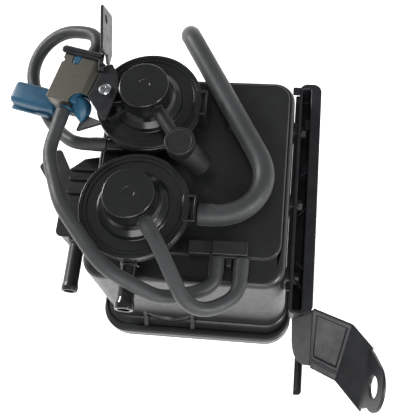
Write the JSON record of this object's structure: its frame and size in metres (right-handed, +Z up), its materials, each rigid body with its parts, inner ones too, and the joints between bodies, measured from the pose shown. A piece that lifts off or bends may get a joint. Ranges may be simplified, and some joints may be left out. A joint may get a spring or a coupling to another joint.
{
  "type": "charcoal canister",
  "caption": "Black plastic fuel-vapour charcoal canister with round diaphragm valves, a solenoid valve, rubber hoses and a steel mounting bracket.",
  "frame": {"origin": "on the base plane, under the middle of the moulded box", "axes": "+X to the side with the steel bracket, +Y to the back, away from the pipe stubs, +Z up"},
  "size_m": [0.2689, 0.2756, 0.1724],
  "materials": {
    "body_plastic": "semi-gloss moulded black",
    "carbon": "granules",
    "foam": "open foam",
    "retainer_plastic": "moulded",
    "spring_steel": "drawn wire",
    "diaphragm_rubber": "satin",
    "plain_steel": "machined",
    "bracket_paint": "glossy black paint on pressed sheet",
    "zinc_steel": "zinc plated",
    "blue_plastic": "moulded blue",
    "winding": "enamelled copper wire",
    "terminal_brass": "bright",
    "hose_rubber": "matt with a soft sheen"
  },
  "bodies": {
    "canister": {"canister_body": "body_plastic", "base_cover": "body_plastic", "valve_1_body": "body_plastic", "valve_1_cover": "body_plastic", "valve_2_body": "body_plastic", "valve_2_cover": "body_plastic", "carbon_bed_tank": "carbon", "carbon_bed_air": "carbon", "upper_filter_tank": "foam", "upper_filter_air": "foam", "lower_filter_tank": "foam", "lower_filter_air": "foam", "retainer_tank": "retainer_plastic", "retainer_air": "retainer_plastic", "bed_springs": "spring_steel", "valve_1_spring": "spring_steel", "valve_2_spring": "spring_steel", "plunger_spring": "spring_steel", "valve_1_diaphragm": "diaphragm_rubber", "valve_2_diaphragm": "diaphragm_rubber", "vent_cap": "diaphragm_rubber", "solenoid_core": "plain_steel", "side_bracket": "bracket_paint", "solenoid_bracket": "bracket_paint", "solenoid_yoke": "zinc_steel", "bracket_bolts": "zinc_steel", "bracket_screw": "zinc_steel", "solenoid_housing": "blue_plastic", "solenoid_coil": "winding", "connector_terminals": "terminal_brass", "hose_main": "hose_rubber", "hose_bypass": "hose_rubber", "hose_solenoid": "hose_rubber", "hose_valve": "hose_rubber"},
    "valve_1_lifter": {"valve_1_plate": "plain_steel"},
    "valve_2_lifter": {"valve_2_plate": "plain_steel"},
    "plunger": {"solenoid_plunger": "plain_steel"}
  },
  "joints": [
    {"name": "valve_1_lift", "type": "slide", "parent": "canister", "child": "valve_1_lifter", "axis": [0, 0, 1], "range_m": [0, 0.0025], "stiffness_N_per_m": 150, "springref_m": -0.01, "deforming": ["valve_1_spring", "valve_1_diaphragm"]},
    {"name": "valve_2_lift", "type": "slide", "parent": "canister", "child": "valve_2_lifter", "axis": [0, 0, 1], "range_m": [0, 0.0025], "stiffness_N_per_m": 150, "springref_m": -0.01, "deforming": ["valve_2_spring", "valve_2_diaphragm"]},
    {"name": "plunger_slide", "type": "slide", "parent": "canister", "child": "plunger", "axis": [0.225, 0.9744, 0], "range_m": [0, 0.0015], "stiffness_N_per_m": 300, "springref_m": -0.005, "deforming": ["plunger_spring"]}
  ]
}
